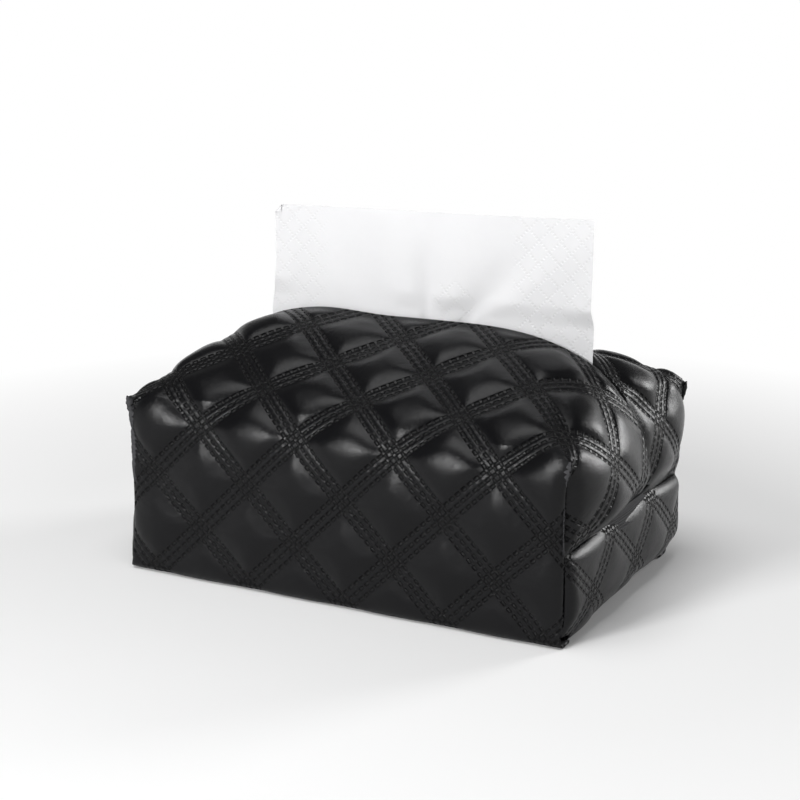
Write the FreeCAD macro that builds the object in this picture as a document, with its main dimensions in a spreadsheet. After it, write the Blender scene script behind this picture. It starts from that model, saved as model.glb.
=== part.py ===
import FreeCAD, Part
import math
import os

# Quilted soft cover for a pack of tissues.
# Row frame: origin at the middle of the underside, X along the length, -Y is the front, +Z up.
# Every form of the cover is cut from one family of closed lofts, each further in than the last.

doc = FreeCAD.newDocument("tissue_box_cover")

# Driving dimensions in millimetres
SIZES = (
    ("cover_length", 210.0),
    ("cover_depth", 132.5),
    ("seam_height", 82.0),
    ("crown_rise", 30.0),
    ("flap_length", 78.0),
    ("end_seam_height", 42.0),
    ("corner_draw_in", 4.0),
    ("end_bulge", 12.5),
    ("side_bow", 6.0),
    ("quilt_base", 3.5),
    ("puff_rise", 3.2),
    ("puff_side", 27.6),
    ("puff_root", 6.0),
    ("puff_corner", 3.0),
    ("diamond_width", 47.04),
    ("diamond_rise", 46.87),
    ("diamond_start_x", -91.8),
    ("diamond_start_v", 1.9),
    ("panel_gap", 0.2),
    ("lining_thick", 0.6),
    ("layer_gap", 0.15),
    ("hem_width", 9.0),
    ("hem_thick", 1.0),
    ("slit_front", 2.0),
    ("slit_width", 10.0),
    ("slit_end", 80.0),
    ("slit_shift", 8.0),
    ("tape_thick", 0.8),
    ("tape_width", 11.0),
    ("pack_length", 176.0),
    ("pack_depth", 104.0),
    ("pack_height", 54.0),
    ("film_thick", 0.3),
    ("film_mouth_length", 164.0),
    ("film_mouth_width", 14.0),
    ("pack_gap", 0.2),
    ("leaf_gap", 0.3),
    ("tissue_width", 156.0),
    ("tissue_offset", 7.0),
    ("tissue_thick", 0.8),
    ("tissue_top_left", 158.5),
    ("tissue_top_right", 165.0),
    ("tissue_place", 5.0),
    ("tissue_wave", 1.5),
    ("tissue_folds", 6),
    ("stitch_long", 2.9),
    ("stitch_wide", 0.8),
    ("stitch_pitch", 3.7),
    ("stitch_inset", 4.5),
)

sheet = doc.addObject("Spreadsheet::Sheet", "sizes")
for row, (alias, value) in enumerate(SIZES, start=1):
    sheet.set("A%d" % row, alias)
    sheet.set("B%d" % row, str(value))
    sheet.setAlias("B%d" % row, alias)
doc.recompute()


def size(alias):
    return float(sheet.get(alias))


half_length = size("cover_length") / 2
half_depth = size("cover_depth") / 2
seam_height = size("seam_height")
crown_rise = size("crown_rise")
gap = size("panel_gap")
X_AXIS = FreeCAD.Vector(1, 0, 0)
Y_AXIS = FreeCAD.Vector(0, 1, 0)
Z_AXIS = FreeCAD.Vector(0, 0, 1)

# Walls, bottom to top: share of the seam height, then shares of the corner draw-in,
# of the end bulge and of the side bow. The fifth station is the crease of the end seam.
wall_shares = (
    (0.00, 0.25, -0.45, -0.3),
    (0.06, 0.40, 0.00, 0.0),
    (0.22, 0.75, 0.34, 0.1),
    (0.42, 1.00, 0.62, 0.1),
    (0.51, 1.00, 0.45, 0.1),
    (0.61, 0.95, 0.88, 0.0),
    (0.76, 0.70, 0.62, -0.1),
    (0.88, 0.50, 0.10, -0.5),
    (1.00, 0.30, -0.40, -1.0),
)

# Roof, rim to crest: share of the crown rise, then the corner and the middle of the side,
# each as shares of the half length and the half depth.
roof_shares = (
    (0.14, 0.930, 0.85, 0.950, 0.810),
    (0.33, 0.855, 0.71, 0.900, 0.655),
    (0.50, 0.820, 0.50, 0.865, 0.500),
    (0.78, 0.710, 0.22, 0.750, 0.235),
    (0.94, 0.590, 0.08, 0.610, 0.095),
    (1.00, 0.440, 0.03, 0.460, 0.038),
)


straight_share = 1 / 10000


def arc_edge(start, middle, end):
    bow = (middle - (start + end) / 2).Length
    if bow < (end - start).Length * straight_share:
        return Part.LineSegment(start, end).toShape()
    return Part.Arc(start, middle, end).toShape()


def ring(height, corner_x, corner_y, middle_x, middle_y):
    """Four arcs that meet at the corner seams, at one height."""
    turns = ((-1, -1), (1, -1), (1, 1), (-1, 1))
    corners = [FreeCAD.Vector(sx * corner_x, sy * corner_y, height) for sx, sy in turns]
    middles = [
        FreeCAD.Vector(0, -middle_y, height),
        FreeCAD.Vector(middle_x, 0, height),
        FreeCAD.Vector(0, middle_y, height),
        FreeCAD.Vector(-middle_x, 0, height),
    ]
    edges = [arc_edge(corners[i], middles[i], corners[(i + 1) % 4]) for i in range(4)]
    return Part.Wire(edges)


def form(inset):
    """The closed form of the whole cover, moved in by the inset: walls and roof in one solid.
    A form that is let out, with an inset below zero, still starts from the same foot."""
    rim_height = seam_height - inset / 2
    crest_height = seam_height + crown_rise - inset
    foot = max(inset, 0)
    walls = []
    for up, draw, bulge, bow in wall_shares:
        taken = inset if up > 0 else foot
        corner_x = half_length - taken - draw * size("corner_draw_in")
        corner_y = half_depth - taken - draw * size("corner_draw_in") * half_depth / half_length / 2
        walls.append(ring(
            foot + up * (rim_height - foot),
            corner_x,
            corner_y,
            half_length - taken + bulge * size("end_bulge"),
            half_depth - taken + bow * size("side_bow"),
        ))
    roof = [walls[-1]]
    shrink_x = 1 - inset / half_length
    shrink_y = 1 - inset / half_depth
    for up, corner_x, corner_y, middle_x, middle_y in roof_shares:
        roof.append(ring(
            rim_height + up * (crest_height - rim_height),
            corner_x * half_length * shrink_x,
            corner_y * half_depth * shrink_y,
            middle_x * half_length * shrink_x,
            middle_y * half_depth * shrink_y,
        ))
    lower = Part.makeLoft(walls, True, False)
    upper = Part.makeLoft(roof, True, False)
    return lower.fuse(upper)


def block(outer, inner):
    """A straight-sided block between two rectangles, each given as four corners."""
    rings = [[FreeCAD.Vector(*corner) for corner in corners + corners[:1]] for corners in (outer, inner)]
    return Part.makeLoft([Part.makePolygon(points) for points in rings], True, True)


# Layers, from the face inwards, as insets of the form
lining_outer = size("quilt_base") + size("layer_gap")
lining_inner = lining_outer + size("lining_thick")
trim_outer = lining_inner + size("layer_gap")
hem_inner = trim_outer + size("hem_thick")
tape_inner = trim_outer + size("tape_thick")

reach = 2 * size("end_bulge")
depth = 3 * size("quilt_base")
share_gap = gap / math.sqrt(2)


def span(low, high):
    return ((low[0], low[1]), (high[0], low[1]), (high[0], high[1]), (low[0], high[1]))


def side_zone(side, low, high):
    """What belongs to the front (-1) or back (+1) wall between two heights."""
    rings = []
    for out in (reach, -depth):
        x = half_length - size("corner_draw_in") / 2 + out - share_gap
        bottom = low - out + share_gap if low == 0 else low + gap / 2
        y = side * (half_depth + out)
        rings.append([(a, y, b) for a, b in span((-x, bottom), (x, high - gap / 2))])
    return block(*rings)


def end_zone(side, low, high, front, back):
    """What belongs to the left (-1) or right (+1) end between two heights and two depths."""
    rings = []
    for out in (reach, -depth):
        x = side * (half_length - size("corner_draw_in") / 2 + out)
        y_edge = half_depth + out - share_gap
        bottom = low - out + share_gap if low == 0 else low + gap / 2
        y_low = -y_edge if front is None else front + gap / 2
        y_high = y_edge if back is None else back - gap / 2
        rings.append([(x, a, b) for a, b in span((y_low, bottom), (y_high, high - gap / 2))])
    return block(*rings)


def base_zone():
    rings = []
    for out in (reach, -depth):
        x = half_length - size("corner_draw_in") / 2 + out - share_gap
        y = half_depth + out - share_gap
        rings.append([(a, b, -out) for a, b in span((-x, -y), (x, y))])
    return block(*rings)


slit_back = size("slit_front") + size("slit_width")
slit_meet = size("slit_shift") + size("slit_front")
hem_turn = half_length - size("corner_draw_in")


def roof_zone(side, edge_shift=0):
    """The plan of a flap: straight at the slit, and drawn to the meeting line at both ends."""
    far = half_length + reach
    if side < 0:
        edge = size("slit_front") - edge_shift
        meet = slit_meet - gap / 2 - edge_shift
    else:
        edge = slit_back + edge_shift
        meet = slit_meet + gap / 2 + edge_shift
    outer_y = side * (half_depth + reach)
    plan = [
        (-far, outer_y), (far, outer_y), (far, meet), (hem_turn, meet), (size("slit_end"), edge),
        (-size("slit_end"), edge), (-hem_turn, meet), (-far, meet),
    ]
    low = seam_height + gap / 2
    points = [FreeCAD.Vector(x, y, low) for x, y in plan + plan[:1]]
    return Part.Face(Part.makePolygon(points)).extrude(Z_AXIS * (crown_rise + reach))


def hem_line(side, x):
    """The plan place of a flap's edge at a given x."""
    edge = size("slit_front") if side < 0 else slit_back
    beyond = (abs(x) - size("slit_end")) / (hem_turn - size("slit_end"))
    return edge + max(0.0, min(1.0, beyond)) * (slit_meet - edge)


outer_form = form(0)
core_form = form(size("quilt_base"))
puff_limit = form(-size("puff_rise"))
lining_solid = form(lining_outer).cut(form(lining_inner))


def seat(guess):
    """The point of the outer form nearest to a point outside it, and the way out there."""
    near = outer_form.distToShape(Part.Vertex(guess))[1][0][0]
    return near, (guess - near).normalize()


# A puff above the face: share of its rise, and share of its side there
puff_shares = (
    (0.0, 1.0),
    (0.62, 0.86),
    (1.0, 0.50),
)
puff_levels = [(-size("puff_root"), 1)] + [(up * size("puff_rise"), wide) for up, wide in puff_shares]


def rounded_square(side, corner, height):
    half = side / 2
    cut = half - corner
    mid = half - corner * (1 - math.sqrt(0.5))
    edges = []
    for turn in range(4):
        c, s = (1, 0, -1, 0)[turn], (0, 1, 0, -1)[turn]

        def spot(x, y, c=c, s=s):
            return FreeCAD.Vector(c * x - s * y, s * x + c * y, height)

        edges.append(Part.LineSegment(spot(half, -cut), spot(half, cut)).toShape())
        edges.append(Part.Arc(spot(half, cut), spot(mid, mid), spot(cut, half)).toShape())
    return Part.Wire(edges)


unit_puff = Part.makeLoft(
    [rounded_square(size("puff_side") * k, size("puff_corner") * k, z) for z, k in puff_levels], True, False)


def puff(place, out, along):
    """One padded diamond, its diagonal laid along the given direction."""
    across = out.cross(along).normalize()
    first = (along + across).normalize()
    second = out.cross(first)
    turn = FreeCAD.Matrix(
        first.x, second.x, out.x, place.x,
        first.y, second.y, out.y, place.y,
        first.z, second.z, out.z, place.z,
        0, 0, 0, 1)
    solid = unit_puff.copy()
    solid.Placement = FreeCAD.Placement(turn)
    return solid


roof_front = half_depth - size("side_bow")
flap_run_share = (roof_front + size("slit_front")) / size("flap_length")
flap_rise_share = crown_rise / roof_front
hover = size("puff_rise")
lowest_seat = size("diamond_rise") / 4


def guess_front(u, v):
    """A point just outside the cover over a place of the blank, v from the front edge of the base."""
    over = v - seam_height
    beyond = abs(u) - half_length
    if over < 0:
        x = math.copysign(min(abs(u), half_length - size("corner_draw_in")), u)
        return FreeCAD.Vector(x, -half_depth - hover, max(v, lowest_seat)), X_AXIS
    y = -roof_front + over * flap_run_share
    rise = seam_height + (roof_front - abs(y)) * flap_rise_share
    if beyond > 0:
        x = math.copysign(half_length + size("end_bulge"), u)
        return FreeCAD.Vector(x, y, seam_height - beyond), Y_AXIS
    if beyond > -size("diamond_width") / 3:
        x = math.copysign(half_length - size("corner_draw_in"), u)
        return FreeCAD.Vector(x, y, seam_height + size("side_bow")), Y_AXIS
    return FreeCAD.Vector(u, y, rise + hover), X_AXIS


def lattice(u_limit, v_low, v_high):
    """Middles of the diamonds between two places up the blank."""
    found = []
    columns = int(u_limit / size("diamond_width")) + 3
    rows = int(max(abs(v_low), abs(v_high)) / size("diamond_rise")) + 2
    for i in range(-columns, columns + 1):
        for j in range(-rows, rows + 1):
            for half in (0, 1):
                u = size("diamond_start_x") + size("diamond_width") * (i + (1 - half) / 2)
                v = size("diamond_start_v") + size("diamond_rise") * (j + half / 2)
                if abs(u) < u_limit and v_low < v < v_high:
                    found.append((u, v))
    return found


puff_half = size("diamond_width") / 2
end_drop = half_length - size("end_seam_height") + seam_height


def front_puffs(mirror):
    """Puffs of a long wall and its flap; mirrored for the back, where the blank runs on under the base."""
    made = []
    top = seam_height + size("flap_length")
    low, high = (-size("cover_depth") - top, puff_half - size("cover_depth")) if mirror else (-puff_half, top)
    for u, v in lattice(end_drop + puff_half / 2, low, high):
        guess, along = guess_front(u, -v - size("cover_depth") if mirror else v)
        if mirror:
            guess.y = -guess.y
        place, out = seat(guess)
        if along == X_AXIS:
            place.x = u
        if guess.z == lowest_seat:
            place.z = -v - size("cover_depth") if mirror else v
        made.append(puff(place, out, along))
    return made


def end_puffs(side):
    """Puffs of the lower half of an end, an extension of the base."""
    made = []
    for u, v in lattice(half_length + size("end_seam_height") + puff_half, -size("cover_depth"), 0):
        beyond = side * u - half_length
        if beyond > -puff_half / 2:
            x = side * (half_length + size("end_bulge"))
            place, out = seat(FreeCAD.Vector(x, -half_depth - v, max(lowest_seat, beyond)))
            place.z = min(place.z, beyond + puff_half / 3)
            made.append(puff(place, out, Y_AXIS))
    return made


def quilted(zone, puffs, puff_area=None):
    """One zone of the blank: its share of the form, with the puffs on it and hollowed behind."""
    body = outer_form.common(zone)
    near = [solid for solid in puffs if solid.BoundBox.intersect(body.BoundBox)]
    if near and puff_area is not None:
        near = [cut for solid in near for cut in solid.common(puff_area).Solids]
    if near:
        body = body.fuse(near).common(puff_limit.common(zone))
    body = body.cut(core_form)
    return max(body.Solids, key=lambda solid: solid.Volume)


front_set = front_puffs(False)
back_set = front_puffs(True)
left_set = end_puffs(-1)
right_set = end_puffs(1)

end_seam = size("end_seam_height")
zones = {
    "base_panel": (base_zone(), [], None),
    "front_panel": (side_zone(-1, 0, seam_height), front_set, None),
    "back_panel": (side_zone(1, 0, seam_height), back_set, None),
    "front_flap": (roof_zone(-1), front_set, roof_zone(-1, size("hem_width"))),
    "back_flap": (roof_zone(1), back_set, roof_zone(1, size("hem_width"))),
}
for side, word, puffs in ((-1, "left", left_set), (1, "right", right_set)):
    zones["base_%s_end" % word] = (end_zone(side, 0, end_seam, None, None), puffs, None)
    front = end_zone(side, end_seam, seam_height, None, slit_meet)
    back = end_zone(side, end_seam, seam_height, slit_meet, None)
    front_area = end_zone(side, end_seam, seam_height, None, slit_meet - size("hem_width"))
    back_area = end_zone(side, end_seam, seam_height, slit_meet + size("hem_width"), None)
    zones["front_flap_%s_end" % word] = (front, front_set, front_area)
    zones["back_flap_%s_end" % word] = (back, back_set, back_area)

pieces = {}
for name, (zone, puffs, area) in zones.items():
    pieces[name] = quilted(zone, puffs, area)
    pieces[name + "_lining"] = lining_solid.common(zone)

# Hems: the edge of each flap turned under along the slit
hem_layer = form(trim_outer).cut(form(hem_inner))
for side, word in ((-1, "front"), (1, "back")):
    edge = size("slit_front") if side < 0 else slit_back
    y_low = edge - size("hem_width") if side < 0 else edge
    strip = Part.makeBox(
        2 * size("slit_end"), size("hem_width"), crown_rise * 2,
        FreeCAD.Vector(-size("slit_end"), y_low, seam_height))
    pieces[word + "_hem"] = hem_layer.common(strip)

# Tapes that bind the raw edges inside the seams
tape_layer = form(trim_outer).cut(form(tape_inner))
tape_width = size("tape_width")
corner_reach = depth + tape_width
for side, word in ((-1, "left"), (1, "right")):
    strip = Part.makeBox(
        reach + depth * 2, 2 * (half_depth - corner_reach) - gap, tape_width,
        FreeCAD.Vector(
            half_length - 2 * depth if side > 0 else -half_length - reach,
            corner_reach - half_depth + gap / 2,
            end_seam - tape_width / 2))
    pieces["end_binding_" + word] = tape_layer.common(strip)
    for way, depth_word in ((-1, "front"), (1, "back")):
        post = Part.makeBox(
            corner_reach, corner_reach, seam_height - size("quilt_base") - depth,
            FreeCAD.Vector(
                half_length - corner_reach if side > 0 else -half_length,
                half_depth - corner_reach if way > 0 else -half_depth,
                depth))
        pieces["corner_binding_%s_%s" % (depth_word, word)] = tape_layer.common(post)


# Hem stitches, one row along each flap's edge
def stitch_row(side):
    made = []
    count = int(2 * (hem_turn - size("stitch_pitch")) / size("stitch_pitch"))
    for i in range(count):
        x = (i - (count - 1) / 2) * size("stitch_pitch")
        y = hem_line(side, x) + side * size("stitch_inset")
        guess = FreeCAD.Vector(x, y, seam_height + crown_rise + hover)
        place, out = seat(guess)
        place, out = seat(FreeCAD.Vector(x, y, place.z + hover))
        bar = Part.makeBox(
            size("stitch_long"), size("stitch_wide"), size("stitch_wide"),
            FreeCAD.Vector(-size("stitch_long") / 2, -size("stitch_wide") / 2, size("layer_gap")))
        bar.Placement = FreeCAD.Placement(place, FreeCAD.Rotation(Z_AXIS, out)) * bar.Placement
        made.append(bar)
    return Part.Compound(made)


pieces["front_hem_stitches"] = stitch_row(-1)
pieces["back_hem_stitches"] = stitch_row(1)

for name, shape in pieces.items():
    feature = doc.addObject("Part::Feature", name)
    feature.Label = name
    feature.Shape = shape
    feature.Placement = FreeCAD.Placement()

# The pack: a stack of folded tissues in a film wrapper with a mouth on top


def bound_box(name, sizes, place):
    box = doc.addObject("Part::Box", name)
    for prop, formula in zip(("Length", "Width", "Height"), sizes):
        box.setExpression(prop, formula)
    for axis, formula in zip(("x", "y", "z"), place):
        box.setExpression("Placement.Base." + axis, formula)
    return box


floor_row = len(SIZES) + 1
sheet.set("A%d" % floor_row, "pack_floor")
sheet.set("B%d" % floor_row, "=quilt_base + layer_gap + lining_thick + pack_gap")
sheet.setAlias("B%d" % floor_row, "pack_floor")
doc.recompute()

skin = "sizes.film_thick + sizes.pack_gap"
pack_sides = ("length", "depth", "height")
pack_start = ("-sizes.pack_length / 2", "-sizes.pack_depth / 2", "sizes.pack_floor")
stack = bound_box(
    "tissue_stack",
    ["sizes.pack_%s - 2 * (%s)" % (side, skin) for side in pack_sides],
    ["%s + %s" % (start, skin) for start in pack_start])
wrap = bound_box("wrap_outside", ["sizes.pack_" + side for side in pack_sides], pack_start)
room = bound_box(
    "wrap_room",
    ["sizes.pack_%s - 2 * sizes.film_thick" % side for side in pack_sides],
    ["%s + sizes.film_thick" % start for start in pack_start])
mouth = bound_box(
    "wrap_mouth",
    ("sizes.film_mouth_length", "sizes.film_mouth_width", "sizes.pack_height"),
    ("sizes.tissue_offset - sizes.film_mouth_length / 2", "sizes.tissue_place - sizes.film_mouth_width / 2",
     "sizes.pack_floor + sizes.pack_height / 2"))
hollow = doc.addObject("Part::MultiFuse", "wrap_hollow")
hollow.Shapes = [room, mouth]
film = doc.addObject("Part::Cut", "pack_film")
film.Base = wrap
film.Tool = hollow


# The leading tissue: one leaf, waved where the slit gathers it and flatter above
def wave_wire(height_left, height_right, wave):
    low = size("tissue_offset") - size("tissue_width") / 2
    folds = int(size("tissue_folds"))
    step = size("tissue_width") / folds
    rise = (height_right - height_left) / size("tissue_width")
    lines = []
    for shift in (-size("tissue_thick") / 2, size("tissue_thick") / 2):
        y = size("tissue_place") + shift
        knots = [FreeCAD.Vector(low + i * step, y, height_left + i * step * rise) for i in range(folds + 1)]
        arcs = []
        for i in range(folds):
            middle = (knots[i] + knots[i + 1]) / 2 + Y_AXIS * wave * (-1) ** i
            arcs.append((knots[i], middle, knots[i + 1]))
        lines.append(arcs)
    front, back = lines
    edges = [Part.Arc(*a).toShape() for a in front]
    edges.append(Part.LineSegment(front[-1][2], back[-1][2]).toShape())
    edges += [Part.Arc(a[2], a[1], a[0]).toShape() for a in reversed(back)]
    edges.append(Part.LineSegment(back[0][0], front[0][0]).toShape())
    return Part.Wire(edges)


stack_top = size("pack_floor") + size("pack_height") - size("film_thick") - size("pack_gap")
leaf_foot = stack_top + size("leaf_gap")
leaf = doc.addObject("Part::Feature", "leading_tissue")
leaf_wires = [
    wave_wire(leaf_foot, leaf_foot, size("tissue_wave")),
    wave_wire(size("tissue_top_left"), size("tissue_top_right"), size("tissue_wave") / 2),
]
leaf.Shape = Part.makeLoft(leaf_wires, True, True)
leaf.Placement = FreeCAD.Placement()

doc.recompute()
kept = [doc.getObject(name) for name in pieces] + [stack, film, leaf]
for item in doc.Objects:
    if "Invalid" in item.State or "Error" in item.State:
        raise RuntimeError("%s failed" % item.Name)
for item in kept:
    if item.Shape.isNull() or not item.Shape.isValid():
        raise RuntimeError("%s has no valid shape" % item.Name)

os.makedirs("parts", exist_ok=True)
for item in kept:
    item.Shape.exportStep("parts/%s.step" % item.Name)
    print(item.Name, len(item.Shape.Solids), round(item.Shape.Volume, 1))
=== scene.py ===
import math

import bmesh
import bpy
import numpy as np
from mathutils import Matrix, Vector, noise
from mathutils.bvhtree import BVHTree


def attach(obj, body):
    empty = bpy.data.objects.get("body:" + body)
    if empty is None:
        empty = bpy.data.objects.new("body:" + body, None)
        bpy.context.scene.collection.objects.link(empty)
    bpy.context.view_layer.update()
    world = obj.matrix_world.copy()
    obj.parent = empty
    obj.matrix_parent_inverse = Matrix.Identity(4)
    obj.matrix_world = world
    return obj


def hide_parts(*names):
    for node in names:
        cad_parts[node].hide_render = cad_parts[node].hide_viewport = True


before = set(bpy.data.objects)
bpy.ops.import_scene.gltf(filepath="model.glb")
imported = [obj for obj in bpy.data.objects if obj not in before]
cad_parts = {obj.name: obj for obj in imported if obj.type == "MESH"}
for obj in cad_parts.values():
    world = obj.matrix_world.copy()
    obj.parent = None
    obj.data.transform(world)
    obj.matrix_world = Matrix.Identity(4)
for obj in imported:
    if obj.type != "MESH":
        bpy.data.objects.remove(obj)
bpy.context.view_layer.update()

mm = 0.001

# Camera at the photograph's angle, on a sensor 36 mm wide
view = {"place": (0.40076, -0.77290, 0.31730), "down": 15.456, "round": 27.69, "lens": 90.8}
cameraData = bpy.data.cameras.new("camera")
cameraData.lens = view["lens"]
cameraData.clip_start = 0.05
camera = bpy.data.objects.new("camera", cameraData)
camera.location = view["place"]
camera.rotation_euler = (math.radians(90 - view["down"]), 0, math.radians(view["round"]))
bpy.context.scene.collection.objects.link(camera)
bpy.context.scene.camera = camera
bpy.context.scene.view_settings.view_transform = "Standard"


# Materials: sockets that take part in sums
class Value:
    def __init__(self, maker, socket):
        self.maker, self.socket = maker, socket

    def math(self, operation, *others):
        values = {i: o for i, o in enumerate((self,) + others)}
        return self.maker.node("ShaderNodeMath", {"operation": operation}, values)

    def __add__(self, other):
        return self.math("ADD", other)

    __radd__ = __add__

    def __sub__(self, other):
        return self.math("SUBTRACT", other)

    def __rsub__(self, other):
        return self.math("MULTIPLY", -1).math("ADD", other)

    def __mul__(self, other):
        return self.math("MULTIPLY", other)

    __rmul__ = __mul__

    def out(self, name):
        return Value(self.maker, self.socket.node.outputs[name])


class Finish:
    def __init__(self, name, **fixed):
        self.material = bpy.data.materials.new(name)
        self.material.use_nodes = True
        self.tree = self.material.node_tree
        self.tree.nodes.clear()
        self.shader = self.tree.nodes.new("ShaderNodeBsdfPrincipled")
        output = self.tree.nodes.new("ShaderNodeOutputMaterial")
        self.tree.links.new(self.shader.outputs[0], output.inputs[0])
        for socket, value in fixed.items():
            self.shader.inputs[socket.replace("_", " ")].default_value = value

    def node(self, kind, settings=(), values=()):
        made = self.tree.nodes.new(kind)
        for name, setting in dict(settings).items():
            if name == "stops":
                ramp = made.color_ramp.elements
                while len(ramp) < len(setting):
                    ramp.new(0.5)
                for element, (place, color) in zip(ramp, setting):
                    element.position = place
                    element.color = color if hasattr(color, "__len__") else (color, color, color, 1)
            else:
                setattr(made, name, setting)
        for name, value in dict(values).items():
            if isinstance(value, Value):
                self.tree.links.new(value.socket, made.inputs[name])
            else:
                made.inputs[name].default_value = value
        return Value(self, next(s for s in made.outputs if s.enabled))

    def place(self):
        return self.node("ShaderNodeTexCoord").out("Object")

    def flat(self):
        return self.node("ShaderNodeUVMap", {"uv_map": "flat"})

    def noise(self, where, scale, detail=3.0, rough=0.55, warp=0.0):
        values = {"Vector": where, "Scale": scale, "Detail": detail, "Roughness": rough, "Distortion": warp}
        return self.node("ShaderNodeTexNoise", {}, values)

    def cells(self, where, scale, feature="DISTANCE_TO_EDGE"):
        return self.node("ShaderNodeTexVoronoi", {"feature": feature}, {"Vector": where, "Scale": scale})

    def ramp(self, value, *stops):
        return self.node("ShaderNodeValToRGB", {"stops": stops}, {"Fac": value})

    def between(self, share, first, second):
        made = self.node("ShaderNodeMix", {"data_type": "RGBA"}, {"Factor": share})
        node = made.socket.node
        colors = [s for s in node.inputs if s.type == "RGBA"]
        for socket, value in zip(colors, (first, second)):
            if isinstance(value, Value):
                self.tree.links.new(value.socket, socket)
            else:
                socket.default_value = (*value, 1)
        return Value(self, next(s for s in node.outputs if s.type == "RGBA"))

    def stretched(self, where, scale):
        return self.node("ShaderNodeMapping", {}, {"Vector": where, "Scale": scale})

    def fade(self, value, low, high):
        settings = {"interpolation_type": "SMOOTHSTEP"}
        values = {"Value": value, "From Min": low, "From Max": high, "To Min": 1.0, "To Max": 0.0}
        return self.node("ShaderNodeMapRange", settings, values)

    def bump(self, height, distance, strength=1.0):
        return self.node("ShaderNodeBump", {}, {"Height": height, "Distance": distance, "Strength": strength})

    def set(self, **links):
        for name, value in links.items():
            self.tree.links.new(value.socket, self.shader.inputs[name.replace("_", " ")])
        return self.material


# The blank of the cover, flat, in millimetres: u along the length, v up from the front edge of the base.
# A pair of values says where a change starts and over what length it comes in.
blank = {
    "halfLength": 105.0, "halfDepth": 66.25, "rim": 84.0, "endReach": 147.0, "underTurn": -8.0,
    "frontHem": 160.0, "backHem": 146.0, "hemTurn": 1.7, "hemUnder": 9.0, "tableU": 152.0, "tableV": 182.0,
}
depth = 2 * blank["halfDepth"]
flapLength = blank["frontHem"] - blank["rim"]
quilt = {
    "width": 47.04, "rise": 46.87, "startU": -91.8, "startV": 1.9, "side": 33.2, "rowStep": 3.4,
    "puff": 2.7, "channel": 0.12, "shoulder": 3.4, "sag": 0.22, "uneven": 0.25, "unevenWide": 24,
    "onEnds": 0.55, "endFade": 12, "onWall": 0.62, "wallFade": (42, 34), "edgeFade": 7, "hemFade": (1.0, 9),
}
front = {
    "lean": 64.65, "leanFrom": 53.2, "leanTo": 105.6, "leanMore": 3.8, "moreFade": (120, 40),
    "shrink": 0.91, "shrinkFade": (60, 25), "crown": -8.8, "kneeAt": 6.0, "kneeWide": 7.4,
    "kneeSpread": 170.4, "kneePower": 0.7, "under": 38.2, "endRun": 1.04, "endFrom": 45.5, "endTo": 138.0,
    "lift": 1.8, "leftLift": 2.0, "upFade": (84.0, 60), "endSwell": 0.0,
}
back = dict(
    front, lean=68.0, leanFrom=71.0, leanTo=101.0, shrink=0.93, endRun=0.90, lift=1.0, leftLift=1.0,
    endSwell=-3.0)
liftFade = {"left": (-60, 90), "right": (-118, 30), "leftOnly": (10, 40), "leftEnd": (-112, 30)}
seam = {
    "spread": 1.012, "cornerTop": 80.0, "cornerDepth": 2.8, "leftDepth": 0.35, "footDepth": 0.35,
    "depthFade": 20, "cornerReach": 8.0, "tipFade": 14.0, "cornerSwell": -3.5, "swellFade": (100, 14),
    "innerFade": 30, "baseFade": (97, 6), "wallFade": (0.5, 4),
    "endReach": 10.0, "creaseDepth": -1.2, "endHeight": 39.5, "endArch": 2.4,
}
ear = {"out": 1.7, "wide": 7.0, "onBack": 0.3, "onLeft": 0.4, "way": (0.8, 0.4, 0.35)}
foot = {
    "rise": 0.4, "round": 2.8, "press": 0.25, "baseFade": (98, 10), "wallFade": (0.5, 9),
    "heelIn": 4.5, "heelSkew": 0.45, "heelMiddle": 0.5, "heelHigh": 15.0, "heelOut": 1.3, "outHigh": 32.0,
    "heelFade": (80, 20),
}
lowerEnd = {
    "turn": (96, 8), "wide": 1.22, "wideFade": (70, 4), "climb": 0.88, "straight": 70,
    "bulgeTop": 42, "bulgePower": 0.7, "leftBulge": 8.0, "rightBulge": 2.5,
}


def ease(t):
    t = np.clip(t, 0, 1)
    return t * t * (3 - 2 * t)


def rising(value, start, over):
    return ease((value - start) / over)


# Height above the foot of the wall on that side, and back from it
def mirrored(v, side):
    return -depth - v if side == "back" else v


def running(values, step):
    sums = np.cumsum((values[1:] + values[:-1]) / 2 * step, axis=0)
    return np.concatenate([np.zeros_like(sums[:1]), sums])


def lookUp(table, row, column):
    r = np.clip(row, 0, table.shape[0] - 1.001)
    c = np.clip(column, 0, table.shape[1] - 1.001)
    i, j = r.astype(int), c.astype(int)
    a, b = r - i, c - j
    low = table[i, j] * (1 - b) + table[i, j + 1] * b
    high = table[i + 1, j] * (1 - b) + table[i + 1, j + 1] * b
    return low * (1 - a) + high * a


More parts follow.
